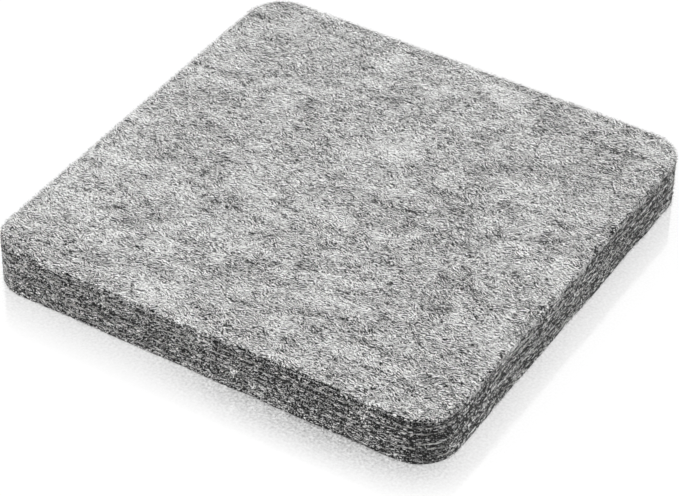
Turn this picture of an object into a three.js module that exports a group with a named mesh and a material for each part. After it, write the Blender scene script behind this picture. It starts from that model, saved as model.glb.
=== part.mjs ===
// Needle felting pad: a square block of grey wool felt with round corners, used flat on a table, either face up.
// Six felt plies of uneven thickness lie one on another, and a thin pale bonding web joins each ply to the next.
// The block is cut to its outline after bonding, so all plies share it. The cut edge of each ply springs back into
// a soft round, which leaves a shallow groove at every seam with the edge of the web at its bottom.
// Millimetres, +Z up. The origin is the centre of the face that the pad rests on.

import * as THREE from "three";

// Plan of the block
const PAD_SIDE = 200;
const CORNER_RADIUS = 16;

// Felt plies, from the table up
const BOTTOM_PLY_THICKNESS = 3;
const SECOND_PLY_THICKNESS = 4;
const THIRD_PLY_THICKNESS = 2.25;
const FOURTH_PLY_THICKNESS = 4.25;
const FIFTH_PLY_THICKNESS = 2.5;
const TOP_PLY_THICKNESS = 3.25;

// Rounds on the cut edges: how far each runs in across the face, and how far along the wall
const OPEN_EDGE_DEPTH = 0.8;
const OPEN_EDGE_HEIGHT = 1;
const SEAM_EDGE_DEPTH = 0.45;
const SEAM_EDGE_HEIGHT = 0.7;

// Bonding webs
const WEB_THICKNESS = 0.25;
const WEB_SETBACK = 0.5; // from the wall of the block to the edge of the web
const BOND_CLEARANCE = 0.05; // between a web and the ply on each side of it

// Facets: steps in a quarter turn of a corner, and in the quarter ellipse of an edge
const CORNER_STEPS = 10;
const EDGE_STEPS = 3;

const OPEN_EDGE = { depth: OPEN_EDGE_DEPTH, height: OPEN_EDGE_HEIGHT };
const SEAM_EDGE = { depth: SEAM_EDGE_DEPTH, height: SEAM_EDGE_HEIGHT };

const PLIES = [
  { name: "bottom_felt_ply", thickness: BOTTOM_PLY_THICKNESS, lower: OPEN_EDGE, upper: SEAM_EDGE },
  { name: "second_felt_ply", thickness: SECOND_PLY_THICKNESS, lower: SEAM_EDGE, upper: SEAM_EDGE },
  { name: "third_felt_ply", thickness: THIRD_PLY_THICKNESS, lower: SEAM_EDGE, upper: SEAM_EDGE },
  { name: "fourth_felt_ply", thickness: FOURTH_PLY_THICKNESS, lower: SEAM_EDGE, upper: SEAM_EDGE },
  { name: "fifth_felt_ply", thickness: FIFTH_PLY_THICKNESS, lower: SEAM_EDGE, upper: SEAM_EDGE },
  { name: "top_felt_ply", thickness: TOP_PLY_THICKNESS, lower: SEAM_EDGE, upper: OPEN_EDGE },
];

// Wool felt scatters light and has no gloss. The bonding web is the same wool, unbleached and loosely laid.
const GREY_FELT = { color: 0xacacac, roughness: 0.95, metalness: 0 };
const PALE_WEB = { color: 0xdcdcd8, roughness: 0.9, metalness: 0 };

// The outline of the block drawn in by inset: four quarter circles about the same corner centres, joined by lines.
function blockOutline(inset) {
  const centre = PAD_SIDE / 2 - CORNER_RADIUS;
  const radius = CORNER_RADIUS - inset;
  const corners = [
    [centre, centre],
    [-centre, centre],
    [-centre, -centre],
    [centre, -centre],
  ];
  const outline = new THREE.Path();
  corners.forEach(([x, y], turn) => {
    const start = (turn * Math.PI) / 2;
    outline.absarc(x, y, radius, start, start + Math.PI / 2);
  });
  return outline.getPoints(CORNER_STEPS / 2);
}

// The section of a ply's edge from its lower face to its upper face: a quarter ellipse at each face, with the
// straight wall between them. In each point, x is the inset from the wall and y is the height.
function edgeSection({ thickness, lower, upper }) {
  const section = new THREE.Path();
  section.absellipse(lower.depth, lower.height, lower.depth, lower.height, 1.5 * Math.PI, Math.PI, true);
  const upperCentre = thickness - upper.height;
  section.absellipse(upper.depth, upperCentre, upper.depth, upper.height, Math.PI, 0.5 * Math.PI, true);
  return section.getPoints(EDGE_STEPS / 2);
}

// A ply standing on z = 0: the outline lofted through the edge section, one ring of points for each point of the
// section, walls between the rings, and a flat face inside the first ring and the last.
function plyGeometry(ply) {
  const section = edgeSection(ply);
  const rings = section.map((point) => blockOutline(point.x));
  const count = rings[0].length;
  const last = (rings.length - 1) * count;
  const positions = rings.flatMap((ring, level) => ring.flatMap(({ x, y }) => [x, y, section[level].y]));
  const indices = [];
  for (const [a, b, c] of THREE.ShapeUtils.triangulateShape(rings[0], [])) {
    indices.push(c, b, a);
    indices.push(last + a, last + b, last + c);
  }
  for (let below = 0; below < last; below += count) {
    for (let i = 0; i < count; i++) {
      const next = (i + 1) % count;
      indices.push(below + i, below + next, below + count + next);
      indices.push(below + i, below + count + next, below + count + i);
    }
  }
  const geometry = new THREE.BufferGeometry();
  geometry.setAttribute("position", new THREE.Float32BufferAttribute(positions, 3));
  geometry.setIndex(indices);
  geometry.computeVertexNormals();
  return geometry;
}

function feltPly(ply) {
  const mesh = new THREE.Mesh(plyGeometry(ply), new THREE.MeshStandardMaterial(GREY_FELT));
  mesh.name = ply.name;
  return mesh;
}

function bondingWeb(name) {
  const shape = new THREE.Shape(blockOutline(WEB_SETBACK));
  const geometry = new THREE.ExtrudeGeometry(shape, { depth: WEB_THICKNESS, bevelEnabled: false });
  const mesh = new THREE.Mesh(geometry, new THREE.MeshStandardMaterial(PALE_WEB));
  mesh.name = name;
  return mesh;
}

// Lays the plies from the table up, with a web on each ply but the last.
function feltingPad() {
  const pad = new THREE.Group();
  let height = 0;
  PLIES.forEach((ply, index) => {
    const felt = feltPly(ply);
    felt.position.z = height;
    pad.add(felt);
    height += ply.thickness;
    if (index < PLIES.length - 1) {
      const web = bondingWeb(`bonding_web_${index + 1}`);
      web.position.z = height + BOND_CLEARANCE;
      pad.add(web);
      height = web.position.z + WEB_THICKNESS + BOND_CLEARANCE;
    }
  });
  return pad;
}

export default feltingPad();
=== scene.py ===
"""Dresses the needle felting pad: felt plies, the bonding webs between them, loose wool and the studio.

Lengths are in metres, and in millimetres where a name ends in _mm. The pad lies on z = 0, and every height
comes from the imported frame.
"""

import itertools
import logging
import math
from dataclasses import dataclass, field
from enum import Enum

import bpy
import numpy as np
from mathutils import Matrix, Vector


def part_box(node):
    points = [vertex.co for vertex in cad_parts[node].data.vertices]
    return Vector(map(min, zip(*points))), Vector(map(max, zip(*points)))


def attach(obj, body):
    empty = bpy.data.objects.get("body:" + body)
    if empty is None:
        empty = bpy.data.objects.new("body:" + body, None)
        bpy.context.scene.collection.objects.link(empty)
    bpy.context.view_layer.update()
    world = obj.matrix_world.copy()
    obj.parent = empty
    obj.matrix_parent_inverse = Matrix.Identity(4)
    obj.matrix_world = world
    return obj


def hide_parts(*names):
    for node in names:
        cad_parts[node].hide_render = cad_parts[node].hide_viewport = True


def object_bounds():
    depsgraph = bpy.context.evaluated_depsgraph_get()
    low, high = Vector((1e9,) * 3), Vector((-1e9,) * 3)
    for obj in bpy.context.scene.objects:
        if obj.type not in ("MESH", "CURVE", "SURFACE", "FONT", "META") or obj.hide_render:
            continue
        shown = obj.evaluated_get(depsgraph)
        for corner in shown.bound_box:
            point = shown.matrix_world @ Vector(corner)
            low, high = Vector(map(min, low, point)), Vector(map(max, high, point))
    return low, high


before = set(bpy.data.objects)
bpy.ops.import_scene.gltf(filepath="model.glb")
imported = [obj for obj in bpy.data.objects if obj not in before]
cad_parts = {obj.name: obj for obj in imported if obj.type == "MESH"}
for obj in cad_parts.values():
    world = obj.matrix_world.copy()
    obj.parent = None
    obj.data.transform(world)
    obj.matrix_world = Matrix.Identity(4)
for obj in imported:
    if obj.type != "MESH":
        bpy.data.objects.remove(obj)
cad_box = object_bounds()

Array = np.ndarray
Material = bpy.types.Material
Outputs = bpy.types.NodeOutputs
Piece = bpy.types.Object
Socket = bpy.types.NodeSocket
Tree = bpy.types.NodeTree
Colour = tuple[float, float, float, float]
Span = tuple[float, float]

LOG = logging.getLogger("felting_pad")
BODY = "root"
MM = 0.001

# Stands in for a length of 0 where one is divided by
TINY = 1e-9

# The inputs of a Map Range node, in order, and the span that a noise texture seldom leaves
RAMP = ("Value", "From Min", "From Max", "To Min", "To Max")
NOISE_SPAN: Span = (0.3, 0.7)

# The flat map that a piece's colours can be kept on, and the empty share at each side of a cell of it
MAP_NAME = "OFBake"
CELL_MARGIN = 0.1


def linear(colour: str) -> Colour:
    """Turns a colour from sRGB to the linear values that a shader takes.

    Args:
        colour: The sRGB colour as "#rrggbb".

    Returns:
        Linear red, green and blue, and an alpha of 1.
    """
    parts = [int(colour[i : i + 2], 16) / 255 for i in (1, 3, 5)]
    red, green, blue = [c / 12.92 if c <= 0.04045 else ((c + 0.055) / 1.055) ** 2.4 for c in parts]
    return red, green, blue, 1.0


def add_node(tree: Tree, kind: str, inputs: dict | None = None, **settings: object) -> Outputs:
    """Adds a node to a tree, with its settings and what goes into it.

    Args:
        tree: The node tree.
        kind: The node's type, without the words ShaderNode before it.
        inputs: For each input, by name or number, the socket to link to it or the value to set.
        **settings: The node's own options.

    Returns:
        The new node's outputs.
    """
    node = tree.nodes.new("ShaderNode" + kind)
    for name, value in settings.items():
        setattr(node, name, value)
    for name, value in (inputs or {}).items():
        if isinstance(value, Socket):
            tree.links.new(value, node.inputs[name])
        else:
            node.inputs[name].default_value = value
    return node.outputs


def seen(tree: Tree) -> Socket:
    """Tells what is seen, straight, mirrored or through glass, from what only gives light.

    Args:
        tree: The nodes of a material or of the room.

    Returns:
        1 for what is seen, and 0 for the rest.
    """
    path = add_node(tree, "LightPath")
    shown = path["Is Camera Ray"]
    for ray in ("Is Glossy Ray", "Is Transmission Ray"):
        shown = add_node(tree, "Math", {0: shown, 1: path[ray]}, operation="MAXIMUM")[0]
    return shown


def blank_material(name: str) -> Material:
    """Makes a material with an empty node tree.

    Args:
        name: The material's name.

    Returns:
        The new material.
    """
    material = bpy.data.materials.new(name)
    material.use_nodes = True
    material.node_tree.nodes.clear()
    return material


def new_piece(name: str, vertices: Array, faces: list, smooth: bool = True) -> Piece:
    """Makes a mesh object in the scene.

    Args:
        name: The piece's name.
        vertices: Its points, one row each.
        faces: For each face, the numbers of its points, anticlockwise from outside.
        smooth: Whether its faces are shaded smooth.

    Returns:
        The new object.
    """
    mesh = bpy.data.meshes.new(name)
    mesh.from_pydata(vertices.tolist(), [], faces)
    mesh.polygons.foreach_set("use_smooth", [smooth] * len(mesh.polygons))
    mesh.update()
    piece = bpy.data.objects.new(name, mesh)
    bpy.context.scene.collection.objects.link(piece)
    return piece


def write_values(piece: Piece, name: str, values: Array) -> None:
    """Keeps one number for each point of a piece, for its material to read."""
    attribute = piece.data.attributes.new(name, "FLOAT", "POINT")
    attribute.data.foreach_set("value", np.asarray(values, np.float32).ravel())


def read_values(items: bpy.types.bpy_prop_collection, name: str, kind: type, width: int = 1) -> Array:
    """Reads a value, one number or a few, of every point, corner or face of a mesh.

    Args:
        items: The mesh's points, corners or faces.
        name: The value's name.
        kind: The type of number.
        width: How many numbers the value has.

    Returns:
        One number for each, or one row of numbers.
    """
    values = np.zeros(len(items) * width, kind)
    items.foreach_get(name, values)
    return values if width == 1 else values.reshape(-1, width)


def wall_faces(count: int, rings: int) -> list:
    """Joins loops of points, each below the last, into the four-sided faces of a wall.

    Args:
        count: Points in each loop.
        rings: How many loops there are.

    Returns:
        For each face, the numbers of its points, loop by loop.
    """
    first = np.arange((rings - 1) * count).reshape(rings - 1, count)
    second = np.roll(first, -1, axis=1)
    return np.stack([first, first + count, second + count, second], axis=-1).reshape(-1, 4).tolist()


def write_map(piece: Piece, places: Array) -> None:
    """Keeps the place of each face's corners on the piece's flat map."""
    layer = piece.data.uv_layers.new(name=MAP_NAME)
    layer.data.foreach_set("uv", np.asarray(places, np.float32).ravel())


def map_apart(piece: Piece) -> None:
    """Gives each face of a piece a cell of its own on the flat map.

    Args:
        piece: The piece, whose faces have three sides or four.
    """
    sides = read_values(piece.data.polygons, "loop_total", np.int32)
    wide = math.ceil(math.sqrt(len(sides)))
    face = np.repeat(np.arange(len(sides)), sides)
    turn = np.arange(len(face)) - np.repeat(np.cumsum(sides) - sides, sides)
    low, high = CELL_MARGIN, 1 - CELL_MARGIN
    corner = np.array([(low, low), (high, low), (high, high), (low, high)])[turn]
    write_map(piece, (np.column_stack([face % wide, face // wide]) + corner) / wide)


@dataclass(frozen=True)
class FlatMap:
    """The flat map of a ply or a web: its wall folded into rows, and each of its two faces a square.

    What shows gets most of the map, and a hidden face only a corner of it.

    Attributes:
        rows: How many rows the wall is folded into.
        wall: Where the rows begin and end, up the map.
        upper: The left and lower edges of the upper face's square, and its width.
        lower: The same for the lower face.
        row_margin: The share of a row that is left empty above the wall, and below it.
        end_margin: The share of the map that is left empty at each end of a row.
    """

    rows: int
    wall: Span
    upper: tuple[float, float, float]
    lower: tuple[float, float, float]
    row_margin: float = 0.04
    end_margin: float = 0.002

    def write(self, piece: Piece, count: int, steps: int) -> None:
        """Lays a piece out on the map.

        Args:
            piece: The piece. Its first faces are those of its wall, loop by loop.
            count: Faces in each loop of the wall.
            steps: Loops of faces in the wall.
        """
        mesh = piece.data
        points = read_values(mesh.vertices, "co", np.float32, 3)
        corners = read_values(mesh.loops, "vertex_index", np.int32)
        sides = read_values(mesh.polygons, "loop_total", np.int32)
        facing = read_values(mesh.polygons, "normal", np.float32, 3)
        step, at = np.divmod(np.arange(steps * count), count)
        row, at = np.divmod(at, count // self.rows)
        along = (at[:, None] + (0, 0, 1, 1)) / (count // self.rows)
        along = self.end_margin + (1 - 2 * self.end_margin) * along
        down = (step[:, None] + (0, 1, 1, 0)) / steps
        down = self.row_margin + (1 - 2 * self.row_margin) * down
        low, high = self.wall
        up = low + (high - low) * (row[:, None] + down) / self.rows
        wall = np.stack([along, up], axis=-1).reshape(-1, 2)
        flat = points[corners[len(wall) :], :2]
        share = flat / (2 * np.abs(points[:, :2]).max()) + 0.5
        upward = np.repeat(facing[steps * count :, 2] > 0, sides[steps * count :])
        square = np.where(upward[:, None], self.upper, self.lower)
        write_map(piece, np.concatenate([wall, square[:, :2] + square[:, 2:] * share]))


UPPER_SHOWS = FlatMap(rows=4, wall=(0.91, 1.0), upper=(0.0, 0.0, 0.9), lower=(0.91, 0.0, 0.08))
LOWER_SHOWS = FlatMap(rows=4, wall=(0.91, 1.0), upper=(0.91, 0.0, 0.08), lower=(0.0, 0.0, 0.9))
WALL_SHOWS = FlatMap(rows=8, wall=(0.2, 1.0), upper=(0.0, 0.0, 0.19), lower=(0.2, 0.0, 0.19))


class WoolNoise:
    """Smooth seeded noise in space, between -1 and 1."""

    CELLS = (160, 160, 48)

    def __init__(self, seed: int) -> None:
        """Draws the values at the noise's lattice points."""
        self.lattice = np.random.default_rng(seed).uniform(-1, 1, self.CELLS)

    def at(self, points: Array, grain_mm: tuple[float, float, float]) -> Array:
        """Reads the noise.

        Args:
            points: Places in space, in metres.
            grain_mm: The size of a lump along x, y and z.

        Returns:
            The noise at each place.
        """
        place = points / (np.array(grain_mm) * MM)
        low = np.floor(place).astype(int)
        part = place - low
        part = part * part * (3 - 2 * part)
        total = np.zeros(points.shape[:-1])
        for corner in itertools.product((0, 1), repeat=3):
            weight = np.where(corner, part, 1 - part).prod(axis=-1)
            x, y, z = np.moveaxis((low + corner) % self.CELLS, -1, 0)
            total += weight * self.lattice[x, y, z]
        return total


def side_point(share: Array, half: Array | float, radius: Array | float) -> tuple[Array, Array]:
    """Finds a point on one side of a rounded square.

    Args:
        share: How far along the side, from -1 at the middle of one corner to 1 at the middle of the next.
        half: Half the square's width.
        radius: Its corner radius.

    Returns:
        The point's distance from the centre, square to the side, and its place along the side.
    """
    straight = half - radius
    run = np.abs(share) * (straight + radius * math.pi / 4)
    turn = np.maximum(run - straight, 0) / np.maximum(radius, TINY)
    out = straight + radius * np.cos(turn)
    along = np.minimum(run, straight) + radius * np.sin(turn)
    return out, np.sign(share) * along


@dataclass(frozen=True)
class RoundedSquare:
    """The plan of the pad, or of a part of it that is drawn in evenly.

    Attributes:
        half: Half its width.
        radius: Its corner radius.
    """

    # How far out from the centre, as a share, the loops of a grid start to have round corners
    ROUND_FROM = 0.6

    half: float
    radius: float

    def drawn_in(self, depth: float) -> "RoundedSquare":
        """Returns the same plan, smaller by depth all round."""
        return RoundedSquare(self.half - depth, self.radius - depth)

    def area(self) -> float:
        """Returns the area inside the outline."""
        return 4 * self.half**2 - (4 - math.pi) * self.radius**2

    def loop(self, shares: Array) -> Array:
        """Walks the outline anticlockwise, from the corner at -x and -y.

        Args:
            shares: Where each side has its points, from -1 to under 1.

        Returns:
            The points of all four sides.
        """
        out, along = side_point(shares, self.half, self.radius)
        sides = ((along, -out), (out, along), (-along, out), (-out, -along))
        return np.concatenate([np.stack(side, axis=1) for side in sides])

    def grid(self, steps: int) -> Array:
        """Fills the outline with even, four-sided cells whose outermost loop is the outline.

        Args:
            steps: Cells along each side.

        Returns:
            The points, by row and column.
        """
        line = np.linspace(-1, 1, steps + 1)
        u, v = np.meshgrid(line, line)
        ring = np.maximum(np.abs(u), np.abs(v))
        rounding = np.clip((ring - self.ROUND_FROM) / (1 - self.ROUND_FROM), 0, 1) ** 2
        across = np.abs(u) >= np.abs(v)
        share = np.where(across, v, u) / np.maximum(ring, TINY)
        out, along = side_point(share, ring * self.half, rounding * self.radius)
        x = np.where(across, np.sign(u) * out, along)
        y = np.where(across, along, np.sign(v) * out)
        return np.stack([x, y], axis=-1)

    def wall(self, loop: Array) -> tuple[Array, Array]:
        """Finds where the outline faces.

        Args:
            loop: Points on the outline.

        Returns:
            For each point the centre that its corner turns about, and the direction out of the wall.
        """
        limit = self.half - self.radius
        centre = np.clip(loop, -limit, limit)
        out = loop - centre
        return centre, out / np.linalg.norm(out, axis=1, keepdims=True)


@dataclass(frozen=True)
class CutMark:
    """The size of one mark that strands leave on the cut wall, along the wall and up it.

    Attributes:
        with_grain_mm: On a wall that runs with the carded grain, along x.
        across_mm: On a wall that runs across the grain, along y.
    """

    with_grain_mm: Span
    across_mm: Span


@dataclass(frozen=True)
class NeedledWoolFelt:
    """Needled wool felt: carded light and dark grey wool, matted with barbed needles and cut with a blade.

    The face shows crossed locks of strands in many greys, clouded where one wool outweighs the other. The cut
    wall shows the ends of the strands, so it is darker and speckled, with the carded layers as broken lines
    along it. Wool strands are about 0.03 mm thick. They are drawn about seven times as coarse, so that they
    show in the picture.
    """

    # The darkest and the palest strand, on the face and on the cut wall
    dark_wool: str = "#101010"
    pale_wool: str = "#fcfcfb"
    cut_dark: str = "#101010"
    cut_pale: str = "#fafaf9"

    # A strand on the face, how far off the wool is that it is unlike, and which tones come out dark and pale
    strand_width_mm: float = 0.22
    strand_length_mm: float = 1.2
    strand_spacing_mm: float = 0.52
    strand_tone: Span = (0.39, 0.63)

    # A lock of strands, its swing about the grain in radians, its waver, and how many locks cross at a place
    lock_size_mm: float = 2.6
    lock_swing: float = 1.5
    waver_size_mm: float = 5.0
    waver_mm: float = 2.5
    layers: int = 3
    layer_shift_mm: tuple[float, float, float] = (31.0, 17.0, 0.0)

    # Clouds and dark flecks, drawn out along the grain by carding, and painted shade: the tone lost in 100 mm
    # of x, which darkens the face towards +x
    carding: tuple[float, float, float] = (0.72, 1.35, 1.0)
    cloud_size_mm: float = 14.0
    cloud_tone: Span = (-0.205, 0.167)
    fleck_size_mm: float = 2.2
    fleck_edge: Span = (0.6, 0.75)
    fleck_depth: float = 0.28
    face_painted_shade_slope: float = 0.032

    # Marks on the cut wall: ends and streaks, the share of streaks, and which tones they take
    cut_end: CutMark = CutMark(with_grain_mm=(0.66, 0.57), across_mm=(1.05, 0.88))
    cut_streak: CutMark = CutMark(with_grain_mm=(1.1, 0.34), across_mm=(1.9, 0.6))
    end_edge: Span = (-0.05, 0.05)
    end_tone: Span = (-0.3, 1.2)
    streak_share: float = 0.25
    streak_tone: Span = (0.6, 0.92)

    # Carded layers in the wall, where ends are larger or smaller: first with the grain, then across it
    layer_length_mm: float = 60.0
    layer_height_mm: float = 1.6
    layer_start: tuple[float, float, float] = (0.0, 0.0, 5.3)
    end_size: Span = (0.325, 0.34)
    layer_contrast: Span = (0.3, 0.66)

    # Painted shade, as the loss of end size in 100 mm of x that darkens the walls along x towards +x and as
    # the dimming of corners at +x; and the slope where a corner ends
    wall_painted_shade_slope: float = 0.06
    painted_corner_shade: float = 1.15
    corner_end: float = 0.33

    # The frayed line between face and wall: fine and slow waver, how far each moves it, and its width
    fray_size_mm: Span = (0.9, 8.0)
    fray_reach: Span = (1.3, 1.6)
    fray_edge: Span = (1.93, 2.12)

    # Relief, and how the wool takes the light: it scatters, with little gloss and a faint bloom
    face_relief_mm: float = 0.12
    wall_relief_mm: float = 0.15
    bump: float = 0.8
    roughness: float = 0.95
    ior: float = 1.45
    gloss: float = 0.15
    bloom: float = 0.1
    bloom_roughness: float = 0.6

    def make(self) -> Material:
        """Builds the felt's shader.

        Returns:
            The material, which reads each point's "cut": 0 on a face and 1 on the cut wall.
        """
        material = blank_material("needled_wool_felt")
        tree = material.node_tree
        place = add_node(tree, "TexCoord")["Object"]
        place = add_node(tree, "VectorMath", {0: place, "Scale": 1 / MM}, operation="SCALE")[0]
        face = self.face_tone(tree, place)
        wall = self.wall_tone(tree, place)
        cut = self.cut_share(tree, place)
        ends = {6: linear(self.dark_wool), 7: linear(self.pale_wool)}
        face_colour = add_node(tree, "Mix", {0: face, **ends}, data_type="RGBA")[2]
        ends = {6: linear(self.cut_dark), 7: linear(self.cut_pale)}
        wall_colour = add_node(tree, "Mix", {0: wall, **ends}, data_type="RGBA")[2]
        colour = add_node(tree, "Mix", {0: cut, 6: face_colour, 7: wall_colour}, data_type="RGBA")[2]
        face_height = add_node(tree, "Math", {0: face, 1: self.face_relief_mm}, operation="MULTIPLY")[0]
        wall_height = add_node(tree, "Math", {0: wall, 1: self.wall_relief_mm}, operation="MULTIPLY")[0]
        height = add_node(tree, "Mix", {0: cut, 2: face_height, 3: wall_height})[0]
        bump = add_node(tree, "Bump", {"Strength": self.bump, "Distance": MM, "Height": height})[0]
        surface = {
            "Base Color": colour,
            "Roughness": self.roughness,
            "IOR": self.ior,
            "Specular IOR Level": self.gloss,
            "Sheen Weight": self.bloom,
            "Sheen Roughness": self.bloom_roughness,
            "Normal": bump,
        }
        shader = add_node(tree, "BsdfPrincipled", surface)[0]
        add_node(tree, "OutputMaterial", {"Surface": shader})
        return material

    def face_tone(self, tree: Tree, place: Socket) -> Socket:
        """Lays crossed locks of strands over one another.

        Args:
            tree: The material's nodes.
            place: The point on the pad, in millimetres.

        Returns:
            The tone of the face, from 0 for dark wool to 1 for pale.
        """
        cloud = self.clouding(tree, place)
        inputs = {"Vector": place, "Scale": 1 / self.waver_size_mm, "Detail": 2}
        waver = add_node(tree, "TexNoise", inputs)["Color"]
        waver = add_node(tree, "VectorMath", {0: waver, 1: (0.5,) * 3}, operation="SUBTRACT")[0]
        inputs = {0: waver, 1: (self.waver_mm,) * 3, 2: place}
        bent = add_node(tree, "VectorMath", inputs, operation="MULTIPLY_ADD")[0]
        tone = None
        for layer in range(self.layers):
            shift = tuple(layer * step for step in self.layer_shift_mm)
            moved = add_node(tree, "VectorMath", {0: bent, 1: shift}, operation="ADD")[0]
            inputs = {"Vector": moved, "Scale": 1 / self.lock_size_mm}
            lock = add_node(tree, "TexVoronoi", inputs, voronoi_dimensions="2D")["Color"]
            chance = add_node(tree, "SeparateColor", {0: lock})[0]
            inputs = dict(zip(RAMP, (chance, 0.0, 1.0, -self.lock_swing / 2, self.lock_swing / 2)))
            angle = add_node(tree, "MapRange", inputs)[0]
            inputs = {"Vector": moved, "Angle": angle}
            turned = add_node(tree, "VectorRotate", inputs, rotation_type="Z_AXIS")[0]
            strand, chance = self.strands(tree, turned)
            mixed = add_node(tree, "Math", {0: strand, 1: cloud})[0]
            shade = add_node(tree, "MapRange", dict(zip(RAMP, (mixed, *self.strand_tone))))[0]
            if tone is None:
                tone = shade
                continue
            over = add_node(tree, "Math", {0: chance, 1: 0.5}, operation="GREATER_THAN")[0]
            tone = add_node(tree, "Mix", {0: over, 2: tone, 3: shade})[0]
        return tone

    def clouding(self, tree: Tree, place: Socket) -> Socket:
        """Mixes pale wool and dark unevenly, in clouds and in dark flecks, and darkens the face towards +x
        with painted shade.

        Args:
            tree: The material's nodes.
            place: The point on the pad, in millimetres.

        Returns:
            What is added to the tone of the strands.
        """
        carded = add_node(tree, "VectorMath", {0: place, 1: self.carding}, operation="MULTIPLY")[0]
        inputs = {
            "Vector": carded,
            "Scale": 1 / self.cloud_size_mm,
            "Detail": 3,
            "Roughness": 0.57,
            "Distortion": 1,
        }
        cloud = add_node(tree, "TexNoise", inputs)[0]
        cloud = add_node(tree, "MapRange", dict(zip(RAMP, (cloud, *NOISE_SPAN, *self.cloud_tone))))[0]
        # Painted shade: the face's tone falls steadily towards +x
        slope = (self.face_painted_shade_slope / 100, 0, 0)
        thinned = add_node(tree, "VectorMath", {0: place, 1: slope}, operation="DOT_PRODUCT")["Value"]
        cloud = add_node(tree, "Math", {0: cloud, 1: thinned}, operation="SUBTRACT")[0]
        inputs = {"Vector": carded, "Scale": 1 / self.fleck_size_mm, "Detail": 1}
        fleck = add_node(tree, "TexNoise", inputs)[0]
        inputs = dict(zip(RAMP, (fleck, *self.fleck_edge, 0.0, self.fleck_depth)))
        fleck = add_node(tree, "MapRange", inputs)[0]
        return add_node(tree, "Math", {0: cloud, 1: fleck}, operation="SUBTRACT")[0]

    def strands(self, tree: Tree, place: Socket) -> tuple[Socket, Socket]:
        """Draws strands along x, each unlike the wool a little way off on both sides of it.

        Args:
            tree: The material's nodes.
            place: The point on the lock, in millimetres.

        Returns:
            The strand's tone, about 0.5 on the whole, and an even chance between 0 and 1. Both are the same
            all along the strand.
        """
        spread = (1 / self.strand_length_mm, 1 / self.strand_width_mm, 1)
        tone: Socket | float = 0.5
        for side, weight in ((-1, -0.5), (1, -0.5), (0, 1.0)):
            shift = (0, side * self.strand_spacing_mm / self.strand_width_mm, 0)
            drawn = add_node(tree, "VectorMath", {0: place, 1: spread, 2: shift}, operation="MULTIPLY_ADD")[0]
            inputs = {"Vector": drawn, "Scale": 1}
            cell = add_node(tree, "TexVoronoi", inputs, voronoi_dimensions="2D")["Color"]
            chance = add_node(tree, "SeparateColor", {0: cell})
            tone = add_node(tree, "Math", {0: chance[0], 1: weight, 2: tone}, operation="MULTIPLY_ADD")[0]
        return tone, chance[1]

    def wall_tone(self, tree: Tree, place: Socket) -> Socket:
        """Speckles the wall with cut ends and streaks, and darkens the corners at +x with painted shade.

        Args:
            tree: The material's nodes.
            place: The point on the pad, in millimetres.

        Returns:
            The tone of the wall, from 0 for a shaded gap to 1 for a pale strand.
        """
        normal = add_node(tree, "NewGeometry")["True Normal"]
        outward = add_node(tree, "VectorMath", {0: normal}, operation="ABSOLUTE")[0]
        facing = add_node(tree, "SeparateXYZ", {0: outward})
        across = add_node(tree, "Math", {0: facing[0], 1: facing[1]}, operation="GREATER_THAN")[0]
        turned = add_node(tree, "Math", {0: facing[0], 1: self.corner_end}, operation="MULTIPLY")[0]
        coarse = add_node(tree, "Math", {0: turned, 1: facing[1]}, operation="GREATER_THAN")[0]
        inputs = {"Vector": self.wall_place(tree, place, across, coarse, self.cut_end), "Scale": 1}
        ends = add_node(tree, "TexVoronoi", inputs, voronoi_dimensions="2D")
        size = self.end_width(tree, place, across, coarse)
        inside = add_node(tree, "Math", {0: size, 1: ends["Distance"]}, operation="SUBTRACT")[0]
        inside = add_node(tree, "MapRange", dict(zip(RAMP, (inside, *self.end_edge))))[0]
        shade = add_node(tree, "SeparateColor", {0: ends["Color"]})[0]
        bright = add_node(tree, "MapRange", dict(zip(RAMP, (shade, 0.0, 1.0, *self.end_tone))))[0]
        end = add_node(tree, "Math", {0: inside, 1: bright}, operation="MULTIPLY", use_clamp=True)[0]
        inputs = {"Vector": self.wall_place(tree, place, across, coarse, self.cut_streak), "Scale": 1}
        streaks = add_node(tree, "TexVoronoi", inputs, voronoi_dimensions="2D")
        chance = add_node(tree, "SeparateColor", {0: streaks["Color"]})
        streak = add_node(tree, "MapRange", dict(zip(RAMP, (chance[0], *self.streak_tone))))[0]
        over = add_node(tree, "Math", {0: chance[1], 1: 1 - self.streak_share}, operation="GREATER_THAN")[0]
        tone = add_node(tree, "Mix", {0: over, 2: end, 3: streak})[0]
        way = add_node(tree, "SeparateXYZ", {0: normal})[0]
        # Painted shade: the corners at +x are dimmed
        corner = add_node(tree, "Math", {0: way, 1: facing[1]}, operation="MULTIPLY", use_clamp=True)[0]
        lit = add_node(tree, "Math", {0: corner, 1: -self.painted_corner_shade, 2: 1.0}, operation="MULTIPLY_ADD")[0]
        return add_node(tree, "Math", {0: tone, 1: lit}, operation="MULTIPLY")[0]

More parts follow.
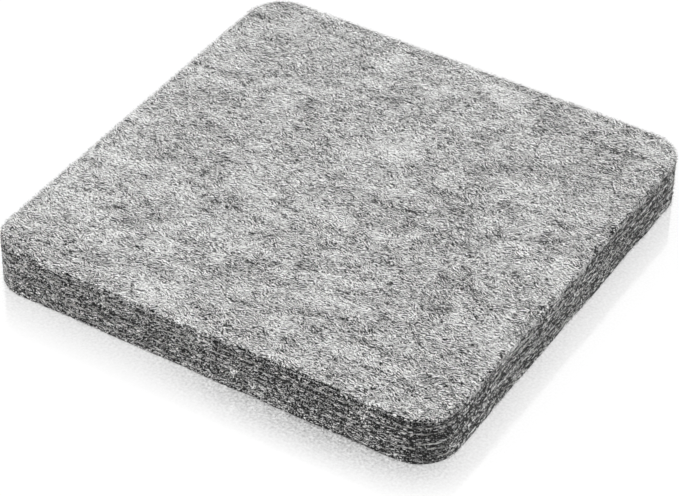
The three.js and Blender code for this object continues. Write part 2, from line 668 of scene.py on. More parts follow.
    def end_width(self, tree: Tree, place: Socket, across: Socket, coarse: Socket) -> Socket:
        """Works out how wide cut ends are: wider in some layers, and with the grain narrower towards +x,
        which is painted shade that darkens those walls towards +x.

        Args:
            tree: The material's nodes.
            place: The point on the pad, in millimetres.
            across: 1 where the wall faces more along x than along y, and 0 elsewhere.
            coarse: 1 where the wall runs across the grain, and 0 where it runs with it or turns a corner.

        Returns:
            The radius of an end, as a share of its cell.
        """
        spread = (1 / self.layer_length_mm, 1 / self.layer_length_mm, 1 / self.layer_height_mm)
        inputs = {0: place, 1: spread, 2: self.layer_start}
        drawn = add_node(tree, "VectorMath", inputs, operation="MULTIPLY_ADD")[0]
        layer = add_node(tree, "TexNoise", {"Vector": drawn, "Scale": 1, "Detail": 0})[0]
        layer = add_node(tree, "Math", {0: layer, 1: 0.5}, operation="SUBTRACT")[0]
        contrast = add_node(tree, "Mix", {0: coarse, 2: self.layer_contrast[0], 3: self.layer_contrast[1]})[0]
        mean = add_node(tree, "Mix", {0: coarse, 2: self.end_size[0], 3: self.end_size[1]})[0]
        size = add_node(tree, "Math", {0: layer, 1: contrast, 2: mean}, operation="MULTIPLY_ADD")[0]
        # Painted shade: on walls that run with the grain, ends shrink and darken towards +x
        slope = add_node(tree, "Mix", {0: across, 2: -self.wall_painted_shade_slope / 100, 3: 0.0})[0]
        along = add_node(tree, "SeparateXYZ", {0: place})[0]
        return add_node(tree, "Math", {0: along, 1: slope, 2: size}, operation="MULTIPLY_ADD")[0]

    def wall_place(self, tree: Tree, place: Socket, across: Socket, coarse: Socket, mark: CutMark) -> Socket:
        """Counts along the wall and up it in marks, whichever way the wall faces.

        Args:
            tree: The material's nodes.
            place: The point on the pad, in millimetres.
            across: 1 where the wall faces more along x than along y, and 0 elsewhere.
            coarse: 1 where the wall runs across the grain, and 0 where it runs with it or turns a corner.
            mark: The size of a mark.

        Returns:
            The place on the wall. The depth into the pad shifts it, so that marks don't run on as stripes
            over a rim.
        """
        counts = []
        for length, height in (mark.with_grain_mm, mark.across_mm):
            spread = (1 / length, 1 / length, 1 / height)
            counts.append(add_node(tree, "VectorMath", {0: place, 1: spread}, operation="MULTIPLY")[0])
        chosen = add_node(tree, "Mix", {0: coarse, 4: counts[0], 5: counts[1]}, data_type="VECTOR")[1]
        count = add_node(tree, "SeparateXYZ", {0: chosen})
        along = add_node(tree, "Mix", {0: across, 2: count[0], 3: count[1]})[0]
        deep = add_node(tree, "Mix", {0: across, 2: count[1], 3: count[0]})[0]
        up = add_node(tree, "Math", {0: count[2], 1: deep})[0]
        return add_node(tree, "CombineXYZ", {0: along, 1: up})[0]

    def cut_share(self, tree: Tree, place: Socket) -> Socket:
        """Frays the line between face and cut wall.

        Args:
            tree: The material's nodes.
            place: The point on the pad, in millimetres.

        Returns:
            0 on the face and 1 on the wall.
        """
        frayed = add_node(tree, "Attribute", attribute_name="cut")["Fac"]
        for size, reach, detail in zip(self.fray_size_mm, self.fray_reach, (2, 1)):
            waver = add_node(tree, "TexNoise", {"Vector": place, "Scale": 1 / size, "Detail": detail})[0]
            frayed = add_node(tree, "Math", {0: waver, 1: reach, 2: frayed}, operation="MULTIPLY_ADD")[0]
        inputs = dict(zip(RAMP, (frayed, *self.fray_edge)))
        return add_node(tree, "MapRange", inputs, interpolation_type="SMOOTHSTEP")[0]


@dataclass(frozen=True)
class SpunBondingWeb:
    """A thin web of unbleached spun fibre, melted in between two plies. Only its torn pale edge shows."""

    # Where the fibre lies thick it is pale, and where it lies thin the dark seam shows through
    thick: str = "#bcbcb8"
    thin: str = "#303030"
    clump_size_mm: float = 2.0
    clump_edge: Span = (0.42, 0.62)
    relief_mm: float = 0.1
    bump: float = 0.6
    roughness: float = 0.85
    ior: float = 1.5
    gloss: float = 0.2

    def make(self) -> Material:
        """Builds the web's shader.

        Returns:
            The material.
        """
        material = blank_material("spun_bonding_web")
        tree = material.node_tree
        place = add_node(tree, "TexCoord")["Object"]
        inputs = {"Vector": place, "Scale": 1 / (self.clump_size_mm * MM), "Detail": 3}
        clump = add_node(tree, "TexNoise", inputs)[0]
        clump = add_node(tree, "MapRange", dict(zip(RAMP, (clump, *self.clump_edge))))[0]
        ends = {6: linear(self.thin), 7: linear(self.thick)}
        colour = add_node(tree, "Mix", {0: clump, **ends}, data_type="RGBA")[2]
        relief = {"Strength": self.bump, "Distance": self.relief_mm * MM, "Height": clump}
        bump = add_node(tree, "Bump", relief)[0]
        surface = {
            "Base Color": colour,
            "Roughness": self.roughness,
            "IOR": self.ior,
            "Specular IOR Level": self.gloss,
            "Normal": bump,
        }
        shader = add_node(tree, "BsdfPrincipled", surface)[0]
        add_node(tree, "OutputMaterial", {"Surface": shader})
        return material


@dataclass(frozen=True)
class CardedWoolStrand:
    """A carded strand of wool: a soft round hair, dark, grey or pale, a little paler where it is scaly."""

    dark_wool: str = "#4c4c4c"
    pale_wool: str = "#fbfbfa"
    scale_size_mm: float = 1.5
    scaliness: float = 0.3
    roughness: float = 0.75
    ior: float = 1.55
    gloss: float = 0.25

    def make(self) -> Material:
        """Builds the strand's shader.

        Returns:
            The material, which reads each strand's "shade": 0 for dark wool and 1 for pale.
        """
        material = blank_material("carded_wool_strand")
        tree = material.node_tree
        place = add_node(tree, "TexCoord")["Object"]
        scaly = add_node(tree, "TexNoise", {"Vector": place, "Scale": 1 / (self.scale_size_mm * MM)})[0]
        shade = add_node(tree, "Attribute", attribute_name="shade")["Fac"]
        tone = add_node(tree, "Math", {0: scaly, 1: self.scaliness, 2: shade}, operation="MULTIPLY_ADD")[0]
        inputs = {0: tone, 1: self.scaliness / 2}
        tone = add_node(tree, "Math", inputs, operation="SUBTRACT", use_clamp=True)[0]
        ends = {6: linear(self.dark_wool), 7: linear(self.pale_wool)}
        colour = add_node(tree, "Mix", {0: tone, **ends}, data_type="RGBA")[2]
        surface = {
            "Base Color": colour,
            "Roughness": self.roughness,
            "IOR": self.ior,
            "Specular IOR Level": self.gloss,
        }
        shader = add_node(tree, "BsdfPrincipled", surface)[0]
        add_node(tree, "OutputMaterial", {"Surface": shader})
        return material


@dataclass(frozen=True)
class WhiteTableTop:
    """A white, softly polished table top, so bright that it reads as plain white, with a faint reflection.

    Attributes:
        plan: The outline of the pad on it.
        white: The colour under the polish.
        glow: The light that the table gives off as seen, which keeps it plain white.
        polish: How strongly the polish mirrors what stands on it, close to the pad.
        roughness: How far the polish blurs what it mirrors.
        reach_mm: How far from the pad the polish has worn to nothing.
        fading: How steeply it fades on the way, as a power.
        grain_mm: The size of the fine grain in the polish.
        grain_gain: How much the grain mirrors where it is dull, and where it is bright.
        rubbed_mm: The middle of the place that has been rubbed to a better polish.
        rubbed_size_mm: How far that place reaches along x and y.
        rubbed_even: The share of that reach, from its middle, over which it is rubbed evenly.
        rubbed_gain: How much more it mirrors.
    """

    plan: RoundedSquare
    white: str = "#c6c6c6"
    glow: float = 0.45
    polish: float = 0.185
    roughness: float = 0.02
    reach_mm: float = 22.0
    fading: float = 1.3
    grain_mm: float = 1.1
    grain_gain: Span = (0.45, 1.55)
    rubbed_mm: Span = (45.0, -100.0)
    rubbed_size_mm: Span = (80.0, 32.0)
    rubbed_even: float = 0.1
    rubbed_gain: float = 1.9

    def make(self) -> Material:
        """Builds the table's shader.

        Returns:
            The material.
        """
        material = blank_material("white_table_top")
        tree = material.node_tree
        matt = add_node(tree, "BsdfDiffuse", {"Color": linear(self.white)})[0]
        gloss = add_node(tree, "BsdfAnisotropic", {"Color": (1, 1, 1, 1), "Roughness": self.roughness})[0]
        glow = add_node(tree, "Math", {0: seen(tree), 1: self.glow}, operation="MULTIPLY")[0]
        lit = add_node(tree, "Emission", {"Strength": glow})[0]
        bright = add_node(tree, "AddShader", {0: matt, 1: lit})[0]
        top = add_node(tree, "MixShader", {0: self.worn_polish(tree), 1: bright, 2: gloss})[0]
        add_node(tree, "OutputMaterial", {"Surface": top})
        return material

    def worn_polish(self, tree: Tree) -> Socket:
        """Lets the polish fade with the distance from the pad's outline.

        Args:
            tree: The material's nodes.

        Returns:
            The share of the light that the polish mirrors.
        """
        whole = add_node(tree, "TexCoord")["Object"]
        limit = self.plan.half - self.plan.radius
        place = add_node(tree, "VectorMath", {0: whole}, operation="ABSOLUTE")[0]
        place = add_node(tree, "VectorMath", {0: place, 1: (limit, limit, 0)}, operation="SUBTRACT")[0]
        place = add_node(tree, "VectorMath", {0: place, 1: (0, 0, 0)}, operation="MAXIMUM")[0]
        far = add_node(tree, "VectorMath", {0: place}, operation="LENGTH")["Value"]
        near = self.plan.radius
        left = add_node(tree, "MapRange", dict(zip(RAMP, (far, near + self.reach_mm * MM, near))))[0]
        left = add_node(tree, "Math", {0: left, 1: self.fading}, operation="POWER")[0]
        grain = add_node(tree, "TexNoise", {"Vector": whole, "Scale": 1 / (self.grain_mm * MM)})[0]
        dull, bright = (gain * self.polish for gain in self.grain_gain)
        grain = add_node(tree, "MapRange", dict(zip(RAMP, (grain, *NOISE_SPAN, dull, bright))))[0]
        worn = add_node(tree, "Math", {0: left, 1: grain}, operation="MULTIPLY")[0]
        middle = tuple(-at / size for at, size in zip(self.rubbed_mm, self.rubbed_size_mm))
        spread = tuple(1 / (size * MM) for size in self.rubbed_size_mm)
        inputs = {0: whole, 1: (*spread, 0), 2: (*middle, 0)}
        around = add_node(tree, "VectorMath", inputs, operation="MULTIPLY_ADD")[0]
        around = add_node(tree, "VectorMath", {0: around}, operation="LENGTH")["Value"]
        inputs = dict(zip(RAMP, (around, 1.0, self.rubbed_even, 1.0, 1 + self.rubbed_gain)))
        rubbed = add_node(tree, "MapRange", inputs, interpolation_type="SMOOTHSTEP")[0]
        return add_node(tree, "Math", {0: worn, 1: rubbed}, operation="MULTIPLY")[0]


@dataclass(frozen=True)
class EdgeRound:
    """How a ply's cut edge springs back into a round.

    Attributes:
        depth: How far it runs in across the face.
        height: How far it runs along the wall.
        open: Whether the face beside it is open to view.
        steps: Steps in the round.
    """

    depth: float
    height: float
    open: bool
    steps: int = 4

    def arc(self, face: float, up: int) -> Array:
        """Draws the round from its face to the wall.

        Args:
            face: The height of the face.
            up: 1 for an upper face, -1 for a lower one.

        Returns:
            One row for each step: the inset from the wall, the height, and how far the surface faces out
            and up.
        """
        turn = np.linspace(0, math.pi / 2, self.steps + 1)
        out, rise = np.sin(turn), np.cos(turn)
        inset = self.depth * (1 - out)
        height = face - up * self.height * (1 - rise)
        return np.stack([inset, height, out / self.depth, up * rise / self.height], axis=1)


WORK_EDGE = EdgeRound(depth=0.8 * MM, height=1.0 * MM, open=True)
REST_EDGE = EdgeRound(depth=0.4 * MM, height=0.5 * MM, open=True)
SEAM_EDGE = EdgeRound(depth=0.2 * MM, height=0.35 * MM, open=False)


@dataclass
class FeltPly:
    """One felt ply, with matted relief on its open face and layered relief on its cut wall.

    The wool is carded along x. Across that grain the blade drags strands of the face down over the rim of the
    wall, and where it comes out, at +x, it frays the face. With the grain it cuts clean, and on the side
    where it goes in, -y, a little way in on the face too.

    Attributes:
        node: The CAD node that it stands for.
        plan: The pad's outline.
        upper: The round at its upper face.
        lower: The round at its lower face.
        noise: The relief's noise, shared by all plies.
        cells: Cells along each side of the pad.
        ring_step: The height of a cell on the wall.
        waver: How far the wall wavers about its outline.
        waver_mm: How long a waver is.
        drag_depth: How far down the wall the blade drags strands of the face.
        drag: The share of them that it drags.
        entry: The share of the rim that is cut where the blade goes in.
        fray_depth: How far in from the side where the blade comes out the face is frayed.
        frayed_rim: The share of the rim that is cut there.
        frayed_face: The share of the face beside it.
        low: The height of its lower face.
        high: The height of its upper face.
        piece: Its mesh, once it is built.
    """

    # Felt that faces down more steeply than this rests on the table
    RESTING = -0.5

    # Lumps of relief, by height and size in mm: matted on a face, and flattened into layers on the cut wall
    MATTED_LUMPS = ((0.09, (9.0, 9.0, 9.0)), (0.07, (3.3, 3.3, 3.3)), (0.05, (1.7, 1.7, 1.7)))
    LAYERED_LUMPS = ((0.1, (8.0, 8.0, 1.2)), (0.08, (3.0, 3.0, 2.2)), (0.1, (1.6, 1.6, 0.9)))

    node: str
    plan: RoundedSquare
    upper: EdgeRound
    lower: EdgeRound
    noise: WoolNoise
    cells: int = 256
    ring_step: float = 0.395 * MM
    waver: float = 0.3 * MM
    waver_mm: float = 11.0
    drag_depth: float = 2.8 * MM
    drag: float = 0.75
    entry: float = 0.75
    fray_depth: float = 3.5 * MM
    frayed_rim: float = 0.58
    frayed_face: float = 0.75
    low: float = field(init=False)
    high: float = field(init=False)
    piece: Piece = field(init=False)

    def __post_init__(self) -> None:
        """Takes the ply's heights from its CAD node."""
        low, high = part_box(self.node)
        self.low, self.high = low[2], high[2]

    def section(self) -> Array:
        """Draws the edge of the ply from its upper face to its lower face.

        Returns:
            One row for each step: the inset from the wall, the height, and how far the surface faces out
            and up.
        """
        top = self.upper.arc(self.high, 1)
        bottom = self.lower.arc(self.low, -1)[::-1]
        start, stop = top[-1, 1], bottom[0, 1]
        count = max(round((start - stop) / self.ring_step), 1)
        heights = np.linspace(start, stop, count + 1)[1:-1]
        none = np.zeros_like(heights)
        wall = np.stack([none, heights, none + 1, none], axis=1)
        section = np.concatenate([top, wall, bottom])
        section[:, 2:] /= np.linalg.norm(section[:, 2:], axis=1, keepdims=True)
        return section

    def relief(self, points: Array, cut: Array) -> Array:
        """Works out how far the felt stands proud.

        Args:
            points: Places on the smooth ply.
            cut: 0 for a place on a face, 1 on the cut wall.

        Returns:
            The relief at each place, in metres.
        """
        matted = sum(height * self.noise.at(points, size) for height, size in self.MATTED_LUMPS)
        layered = sum(height * self.noise.at(points, size) for height, size in self.LAYERED_LUMPS)
        return (matted * (1 - cut) + layered * cut) * MM

    def face_height(self, xy: Array) -> Array:
        """Returns the height of the upper face's felt over points of the plan."""
        points = np.concatenate([xy, np.full((*xy.shape[:-1], 1), self.high)], axis=-1)
        return self.high + self.relief(points, np.zeros(points.shape[:-1]))

    def build(self) -> None:
        """Builds the ply's mesh: a grid on each open face, loops down the wall and a cap on a hidden face."""
        loop = self.plan.loop(np.linspace(-1, 1, self.cells + 1)[:-1])
        centre, out = self.plan.wall(loop)
        waver = self.waver * self.noise.at(np.pad(loop, ((0, 0), (0, 1))), (self.waver_mm,) * 3)
        count = len(loop)
        points, ways, cuts = [], [], []
        for inset, height, facing_out, facing_up in self.section():
            reach = self.plan.radius - inset + waver * facing_out
            points.append(np.column_stack([centre + out * reach[:, None], np.full(count, height)]))
            ways.append(np.column_stack([out * facing_out, np.full(count, facing_up)]))
            cuts.append(self.rim_cut(out, height, facing_out))
        rings = len(points)
        faces = wall_faces(count, rings)
        last = (rings - 1) * count
        faces.extend(self.close_face(points, ways, cuts, self.upper, self.high, 1, 0))
        faces.extend(self.close_face(points, ways, cuts, self.lower, self.low, -1, last))
        place, way, cut = np.concatenate(points), np.concatenate(ways), np.concatenate(cuts)
        relief = self.relief(place, cut)
        flat = WALL_SHOWS
        if self.upper.open:
            flat = UPPER_SHOWS
        if self.lower.open:
            flat = LOWER_SHOWS
            rests = way[:, 2] < self.RESTING
            relief[rests] -= relief[rests].max()
        self.piece = new_piece(self.node.replace("_ply", ""), place + way * relief[:, None], faces)
        write_values(self.piece, "cut", cut)
        flat.write(self.piece, count, rings - 1)

    def rim_cut(self, out: Array, height: float, facing_out: float) -> Array:
        """Works out how much of the felt is cut through on one loop of the wall.

        Args:
            out: The direction out of the wall at each point of the loop.
            height: The height of the loop.
            facing_out: How far the loop faces out.

        Returns:
            0 for a point on a face, 1 on the cut wall.
        """
        if not self.upper.open:
            return np.full(len(out), facing_out)
        near_rim = np.clip(1 - (self.high - height) / self.drag_depth, 0, 1)
        wall = facing_out * (1 - self.drag * out[:, 0] ** 2 * near_rim)
        entry = self.entry * np.maximum(-out[:, 1], 0) ** 2
        frayed = self.frayed_rim * np.maximum(out[:, 0], 0) ** 2
        return np.maximum.reduce([wall, entry, frayed])

    def face_cut(self, xy: Array) -> Array:
        """Returns how much of the upper face is cut through at points of the plan, in a band along +x."""
        return self.frayed_face * np.clip(1 - (self.plan.half - xy[:, 0]) / self.fray_depth, 0, 1)

    def close_face(
        self, points: list, ways: list, cuts: list, edge: EdgeRound, height: float, up: int, rim: int
    ) -> list:
        """Closes the upper or the lower face inside the rim of the wall.

        Args:
            points: The places gathered so far, to which an open face adds its own.
            ways: The direction that the felt faces at each of them.
            cuts: 0 for each on a face, 1 on the cut wall.
            edge: The round beside the face.
            height: The height of the face.
            up: 1 for the upper face, -1 for the lower.
            rim: The number of the first point of the wall's loop beside the face.

        Returns:
            The new faces.
        """
        walk = rim + np.arange(4 * self.cells)
        if not edge.open:
            return [walk[::up].tolist()]
        inner = self.plan.drawn_in(edge.depth).grid(self.cells)[1:-1, 1:-1].reshape(-1, 2)
        first = sum(len(block) for block in points)
        points.append(np.column_stack([inner, np.full(len(inner), height)]))
        ways.append(np.tile([0.0, 0.0, up], (len(inner), 1)))
        cuts.append(self.face_cut(inner) if up > 0 else np.zeros(len(inner)))
        number = np.zeros((self.cells + 1, self.cells + 1), int)
        number[1:-1, 1:-1] = first + np.arange(len(inner)).reshape(self.cells - 1, -1)
        sides = walk.reshape(4, self.cells)
        number[0, :-1], number[:-1, -1], number[-1, :0:-1], number[:0:-1, 0] = sides
        quads = np.stack([number[:-1, :-1], number[:-1, 1:], number[1:, 1:], number[1:, :-1]], axis=-1)
        return quads.reshape(-1, 4)[:, ::up].tolist()

    def dress(self, felt: Material) -> None:
        """Gives the ply its felt, and puts it in its CAD node's place.

        Args:
            felt: The felt's material.
        """
        self.piece.data.materials.append(felt)
        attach(self.piece, BODY)
        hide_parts(self.node)


@dataclass
class BondingWeb:
    """The web between two plies: a thin sheet whose torn edge shows as a broken pale line in the seam.

    Attributes:
        node: The CAD node that it stands for.
        below: The CAD node of the ply that it lies on.
        plan: The pad's outline.
        seed: The seed of its torn edge.
        setback: How far its edge lies inside the pad's outline on the mean. Below 0 it lies outside.
        tear: How far the edge is torn in and out.
        thinned: How far it draws in where it thins to its two faces.
        cells: Cells along each side of the pad.
        piece: Its mesh, once it is built.
    """

    # How far a tear runs on to the points beside it
    TEAR_SPREAD = (0.25, 0.5, 0.25)

    node: str
    below: str
    plan: RoundedSquare
    seed: int
    setback: float = -0.05 * MM
    tear: float = 0.3 * MM
    thinned: float = 0.12 * MM
    cells: int = 256
    piece: Piece = field(init=False)

    def build(self) -> None:
        """Builds the web's mesh: two flat faces and a rim torn by seeded chance."""
        low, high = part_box(self.node)
        chance = np.random.default_rng(self.seed)
        loop = self.plan.loop(np.linspace(-1, 1, self.cells + 1)[:-1])
        centre, out = self.plan.wall(loop)
        count = len(loop)
        torn = np.tile(chance.normal(0, 1, count), 3)
        torn = np.convolve(torn, self.TEAR_SPREAD, "same")[count : 2 * count]
        reach = self.plan.radius - self.setback + self.tear * torn
        middle = (low[2] + high[2]) / 2
        rings = []
        for height, inset in ((high[2], self.thinned), (middle, 0.0), (low[2], self.thinned)):
            rings.append(np.column_stack([centre + out * (reach - inset)[:, None], np.full(count, height)]))
        faces = wall_faces(count, len(rings))
        faces.append(list(range(count)))
        faces.append(list(range(3 * count - 1, 2 * count - 1, -1)))
        name = self.node.replace("bonding_web", "pale_web")
        self.piece = new_piece(name, np.concatenate(rings), faces, smooth=False)
        WALL_SHOWS.write(self.piece, count, len(rings) - 1)

    def dress(self, web: Material) -> None:
        """Gives the web its finish, and puts it in its CAD node's place.

        Args:
            web: The web's material.
        """
        self.piece.data.materials.append(web)
        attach(self.piece, BODY)
        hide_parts(self.node)
        area = self.plan.drawn_in(self.setback).area()


class Lie(Enum):
    """How loose strands lie on the pad."""

    MATTED = "matted_strands"
    CUT_END = "cut_end_strands"
    LAID = "laid_strands"
    RIM = "rim_strands"


@dataclass
class LooseStrands:
    """Loose wool that stands a little proud of the felt, as closed three-sided hairs.

    Attributes:
        top: The pad's top ply.
        seams: The heights of the seams between the plies.
        lie: How the strands lie.
        seed: The seed of their places and shapes.
        count: How many there are.
        steps: Straight runs in each strand.
        length: The shortest and the longest.
        thickness: The thinnest and the thickest. Wool is finer, and is drawn coarser so that it shows.
        tone: The weights of the chance that draws their greys. The first pulls to pale, the second to dark.
        taper: The share of its thickness that a strand loses at its tips.
        chance: What draws their places and shapes.
        piece: Their mesh, once it is built.
    """

    # Matted strands: how far the first point and all the rest keep from the outline, the spread of a strand's
    # heading, curl and wave in radians, and how far its middle may lift
    START_MARGIN = 1.5 * MM
    RIM_MARGIN = 1.2 * MM
    HEADING = 0.7
    CURL = 0.9
    WAVE = 0.5
    LIFT = 0.16 * MM

    # Strands on the wall: how far their own way up leans from straight out of the wall
    LEAN = 0.2

    top: FeltPly
    seams: Array
    lie: Lie
    seed: int
    count: int
    steps: int
    length: Span
    thickness: Span
    tone: Span
    taper: float = 0.7
    chance: np.random.Generator = field(init=False)
    piece: Piece = field(init=False)

    def __post_init__(self) -> None:
        """Starts the chance that draws the strands."""
        self.chance = np.random.default_rng(self.seed)

    def build(self) -> None:
        """Builds the strands' mesh."""
        paths, away = self.on_face() if self.lie is Lie.MATTED else self.on_wall()
        number, rings = paths.shape[:2]
        thick = self.chance.uniform(*self.thickness, number) / 2
        share = np.linspace(-1, 1, rings)
        radius = thick[:, None] * (1 - self.taper * np.abs(share) ** 3)
        tangent = np.gradient(paths, axis=1)
        tangent /= np.linalg.norm(tangent, axis=2, keepdims=True)
        across = np.cross(tangent, away)
        across /= np.maximum(np.linalg.norm(across, axis=2, keepdims=True), TINY)
        up = np.cross(across, tangent)
        angles = np.radians([90, 210, 330])[:, None]
        ring = np.cos(angles) * across[:, :, None] + np.sin(angles) * up[:, :, None]
        points = paths[:, :, None] + ring * radius[:, :, None, None]
        index = np.arange(number * rings * 3).reshape(number, rings, 3)
        turned = np.roll(index, -1, axis=2)
        quads = np.stack([index[:, :-1], turned[:, :-1], turned[:, 1:], index[:, 1:]], axis=-1).reshape(-1, 4)
        ends = np.concatenate([index[:, 0, ::-1], index[:, -1]])
        self.piece = new_piece(self.lie.value, points.reshape(-1, 3), quads.tolist() + ends.tolist())
        shade = self.chance.beta(*self.tone, number)
        write_values(self.piece, "shade", np.repeat(shade, rings * 3))
        map_apart(self.piece)

    def on_face(self) -> tuple[Array, Array]:
        """Lays strands on the upper face, curving as they go and following its relief.

        Returns:
            Each strand's points, and the way out of the felt at each.
        """
        plan, chance = self.top.plan, self.chance
        reach = plan.half - self.START_MARGIN
        start = chance.uniform(-reach, reach, (self.count, 2))
        length = chance.uniform(*self.length, self.count)
        share = np.linspace(0, 1, self.steps + 1)
        curl = chance.normal(0, self.CURL, (self.count, 1)) * share
        wave = chance.normal(0, self.WAVE, (self.count, 1)) * np.sin(2 * math.pi * share)
        heading = chance.normal(0, self.HEADING, (self.count, 1)) + (curl + wave)
        step = (length / self.steps)[:, None]
        run = np.stack([np.cos(heading), np.sin(heading)], axis=2) * step[:, :, None]
        xy = start[:, None] + np.cumsum(run, axis=1)
        corner = np.maximum(np.abs(xy) - (plan.half - plan.radius), 0)
        inside = (np.linalg.norm(corner, axis=2) < plan.radius - self.RIM_MARGIN).all(axis=1)
        xy = xy[inside]
        lift = chance.uniform(0.0, self.LIFT, (len(xy), 1)) * np.sin(math.pi * share)
        height = self.top.face_height(xy) + lift
        paths = np.concatenate([xy, height[:, :, None]], axis=2)
        return paths, np.broadcast_to([0.0, 0.0, 1.0], paths.shape)

    def on_wall(self) -> tuple[Array, Array]:
        """Roots strands in the cut wall or its two rims.

        Returns:
            Each strand's points, and the way out of the felt at each.
        """
        plan = self.top.plan
        shares = self.chance.uniform(-1, 1, self.count // 4)
        centre, out = plan.wall(plan.loop(shares))
        number = len(out)
        along = np.stack([-out[:, 1], out[:, 0]], axis=1)
        length = self.chance.uniform(*self.length, number)[:, None]
        share = np.linspace(0, 1, self.steps + 1)[None, :]
        swing = self.chance.uniform(-1, 1, number)[:, None]
        draw = {Lie.LAID: self.laid, Lie.CUT_END: self.cut_ends, Lie.RIM: self.rim_ends}[self.lie]
        height, side, lift = draw(length, share, swing)
        reach = (plan.radius + lift)[:, :, None]
        flat = centre[:, None] + out[:, None] * reach + along[:, None] * side[:, :, None]
        paths = np.concatenate([flat, height[:, :, None]], axis=2)
        away = np.concatenate([out, np.full((number, 1), self.LEAN)], axis=1)
        return paths, np.broadcast_to(away[:, None], paths.shape)

    def laid(self, length: Array, share: Array, swing: Array) -> tuple[Array, Array, Array]:
        """Lays strands along the wall, half of them close to a seam.

        Args:
            length: The length of each strand.
            share: How far along a strand its points are, from 0 to 1.
            swing: The way that each leans, from -1 to 1.

        Returns:
            For each point its height, its place along the wall, and how far it stands off the wall.
        """
        # The spread about a seam, for half of them and the rest, and how far all keep from the two faces
        close, wide, margin = 0.3 * MM, 2.5 * MM, 0.8 * MM
        # How far a strand tilts and bows, and how far in or out it lies
        tilt, bow = 0.35 * MM, 0.1 * MM
        sunk_mm, proud_mm = -0.05, 0.12
        number = len(length)
        spread = self.chance.choice([close, wide], number)
        height = self.chance.choice(self.seams, number) + self.chance.normal(0, spread)
        height = np.clip(height, margin, self.top.high - margin)[:, None]
        lift = bow * np.sin(math.pi * share) + self.chance.uniform(sunk_mm, proud_mm, number)[:, None] * MM
        return height + tilt * swing * (share - 0.5), length * (share - 0.5), lift

    def cut_ends(self, length: Array, share: Array, swing: Array) -> tuple[Array, Array, Array]:
        """Roots short ends all over the wall, which stand off it and bend up or down.

        Args:
            length: The length of each strand.
            share: How far along a strand its points are, from 0 to 1.
            swing: The way that each leans, from -1 to 1.

        Returns:
            For each point its height, its place along the wall, and how far it stands off the wall.
        """
        # How far ends keep from the two faces, how deep they are rooted, and how flat a leaning one lies
        margin, root, flattening = 0.4 * MM, 0.15 * MM, 0.8
        # How far an end bends, as a share of its length, and the spread of that from down to up
        bend, lowest, highest = 0.4, -1, 0.6
        number = len(length)
        height = self.chance.uniform(margin, self.top.high - margin, number)[:, None]
        lift = length * share * np.sqrt(1 - flattening * swing**2) - root
        rise = bend * length * share**2 * self.chance.uniform(lowest, highest, number)[:, None]
        return height + rise, length * share * swing, lift

    def rim_ends(self, length: Array, share: Array, swing: Array) -> tuple[Array, Array, Array]:
        """Roots fine ends in the upper rim, and fewer in the lower one.

        Args:
            length: The length of each strand.
            share: How far along a strand its points are, from 0 to 1.
            swing: The way that each leans, from -1 to 1.

        Returns:
            For each point its height, its place along the wall, and how far it stands off the wall.
        """
        # The share of ends in the upper rim, and how far those and the rest rise, as a share of their length
        upper_share, upper_rise, lower_rise = 0.75, 0.5, 0.15
        # How far from the pad's two faces they are rooted, and how deep
        upper_root, lower_root, root = 0.3 * MM, 0.35 * MM, 0.3 * MM
        # How far they reach out and turn back, as shares of their length
        reach, back = 0.8, 0.2
        number = len(length)
        upper = self.chance.random(number)[:, None] < upper_share
        height = np.where(upper, self.top.high - upper_root, lower_root)
        lift = length * share * reach - root - back * length * share**2
        rise = np.where(upper, upper_rise, lower_rise) * length * share
        return height + rise * self.chance.uniform(0, 1, number)[:, None], length * share * swing, lift

    def dress(self, wool: Material) -> None:
        """Gives the strands their finish and fixes them to the pad.

        Args:
            wool: The strands' material.
        """
        self.piece.data.materials.append(wool)
        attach(self.piece, BODY)


@dataclass(frozen=True)
class SoftSun:
    """A distant lamp, as soft as it is wide.

    Attributes:
        name: The lamp's name.
        strength: Its light, in watts a square metre.
        width: How wide it looks from the pad, in degrees.
        lean: How far it stands from straight overhead, in degrees.
        bearing: Which way it stands, in degrees from -y towards +x.
    """

    name: str
    strength: float
    width: float
    lean: float
    bearing: float

    def hang(self) -> None:
        """Hangs the lamp."""
        lamp = bpy.data.lights.new(self.name, "SUN")
        lamp.energy = self.strength
        lamp.angle = math.radians(self.width)
        holder = bpy.data.objects.new(self.name, lamp)
        holder.rotation_euler = (math.radians(self.lean), 0, math.radians(self.bearing))
        bpy.context.scene.collection.objects.link(holder)


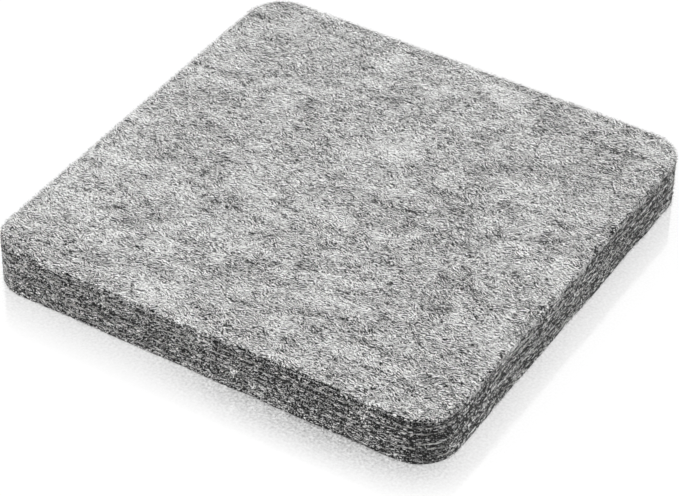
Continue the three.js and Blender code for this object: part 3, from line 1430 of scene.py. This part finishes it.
@dataclass(frozen=True)
class Studio:
    """A white table under a broad soft light, and the camera at the photograph's viewing angle.

    Attributes:
        plan: The pad's outline.
        aim: The point on the pad's upper face at the middle of the picture.
        azimuth: The camera's bearing, in degrees from -y towards +x.
        elevation: Its height above the horizon, in degrees.
        roll: Its lean, in degrees.
        distance: From the camera to the aim.
        lens: The focal length, in millimetres.
        sensor: The width of the picture behind the lens, in millimetres.
        table_side: The width of the table.
        lights: The lamps, one broad and overhead, the other at the camera's side.
        room_light: The light of the white room. As seen, the room is plain white.
    """

    plan: RoundedSquare
    aim: tuple[float, float, float] = (16.25 * MM, -30.5 * MM, 21.0 * MM)
    azimuth: float = 31.26
    elevation: float = 39.09
    roll: float = 1.02
    distance: float = 1.0793
    lens: float = 150.4
    sensor: float = 36.0
    table_side: float = 12.0
    lights: tuple[SoftSun, ...] = (
        SoftSun("overhead_light", strength=0.55, width=100, lean=10, bearing=238),
        SoftSun("front_light", strength=1.45, width=20, lean=48, bearing=25),
    )
    room_light: float = 0.58

    def build(self) -> None:
        """Sets up the table, the lights, the room and the camera."""
        self.build_table()
        for light in self.lights:
            light.hang()
        self.build_room()
        self.build_camera()
        bpy.context.scene.view_settings.view_transform = "Standard"

    def build_table(self) -> None:
        """Lays the table top that the pad rests on."""
        half = self.table_side / 2
        corners = np.array([(-half, -half, 0), (half, -half, 0), (half, half, 0), (-half, half, 0)])
        table = new_piece("table_top", corners, [(0, 1, 2, 3)], smooth=False)
        table.data.materials.append(WhiteTableTop(self.plan).make())

    def build_room(self) -> None:
        """Puts a white room round the table."""
        room = bpy.data.worlds.new("white_room")
        bpy.context.scene.world = room
        room.use_nodes = True
        tree = room.node_tree
        tree.nodes.clear()
        strength = add_node(tree, "Mix", {0: seen(tree), 2: self.room_light, 3: 1.0})[0]
        light = add_node(tree, "Background", {"Color": (1, 1, 1, 1), "Strength": strength})[0]
        add_node(tree, "OutputWorld", {"Surface": light})

    def build_camera(self) -> None:
        """Places the camera."""
        lens = bpy.data.cameras.new("camera")
        lens.lens = self.lens
        lens.sensor_width = self.sensor
        lens.sensor_fit = "HORIZONTAL"
        camera = bpy.data.objects.new("camera", lens)
        bearing, height = math.radians(self.azimuth), math.radians(self.elevation)
        level = math.cos(height)
        back = Vector((math.sin(bearing) * level, -math.cos(bearing) * level, math.sin(height)))
        turn = (-back).to_track_quat("-Z", "Y").to_matrix().to_4x4()
        lean = Matrix.Rotation(math.radians(self.roll), 4, "Z")
        camera.matrix_world = Matrix.Translation(Vector(self.aim) + back * self.distance) @ turn @ lean
        bpy.context.scene.collection.objects.link(camera)
        bpy.context.scene.camera = camera


PLY_NODES = tuple(f"{name}_felt_ply" for name in ("bottom", "second", "third", "fourth", "fifth", "top"))
CORNER_RADIUS = 16.0 * MM
RELIEF_SEED = 11
TEAR_SEED = 20

# Loose wool: how it lies, its seed, how many strands there are and the straight runs in each, their length
# and thickness, and the weights of their greys
LOOSE_WOOL = (
    (Lie.MATTED, 31, 3500, 5, (4 * MM, 13 * MM), (0.12 * MM, 0.2 * MM), (1.6, 0.5)),
    (Lie.CUT_END, 32, 2600, 2, (0.4 * MM, 1.0 * MM), (0.14 * MM, 0.24 * MM), (0.4, 0.7)),
    (Lie.LAID, 33, 1300, 4, (1 * MM, 4 * MM), (0.14 * MM, 0.24 * MM), (2, 0.5)),
    (Lie.RIM, 34, 6000, 3, (0.6 * MM, 1.8 * MM), (0.06 * MM, 0.12 * MM), (0.6, 0.8)),
)


def main() -> None:
    """Builds the pad from the table up, then its loose wool and the studio."""
    logging.basicConfig(level=logging.INFO, format="%(name)s: %(message)s")
    low, high = cad_box
    plan = RoundedSquare((high[0] - low[0]) / 2, CORNER_RADIUS)
    noise = WoolNoise(RELIEF_SEED)
    felt = NeedledWoolFelt().make()
    web = SpunBondingWeb().make()
    wool = CardedWoolStrand().make()
    plies: list[FeltPly] = []
    sheets: list[BondingWeb] = []
    for number, node in enumerate(PLY_NODES, start=1):
        upper = WORK_EDGE if node == PLY_NODES[-1] else SEAM_EDGE
        lower = REST_EDGE if node == PLY_NODES[0] else SEAM_EDGE
        plies.append(FeltPly(node, plan, upper, lower, noise))
        if node != PLY_NODES[-1]:
            sheets.append(BondingWeb(f"bonding_web_{number}", node, plan, seed=TEAR_SEED + number))
    seams = np.array([ply.high for ply in plies[:-1]])
    strands = [LooseStrands(plies[-1], seams, *kind) for kind in LOOSE_WOOL]
    for parts, finish in ((plies, felt), (sheets, web), (strands, wool)):
        for part in parts:
            part.build()
            part.dress(finish)
            LOG.info("%s: %d faces", part.piece.name, len(part.piece.data.polygons))
    Studio(plan).build()


if __name__ == "__main__":
    main()
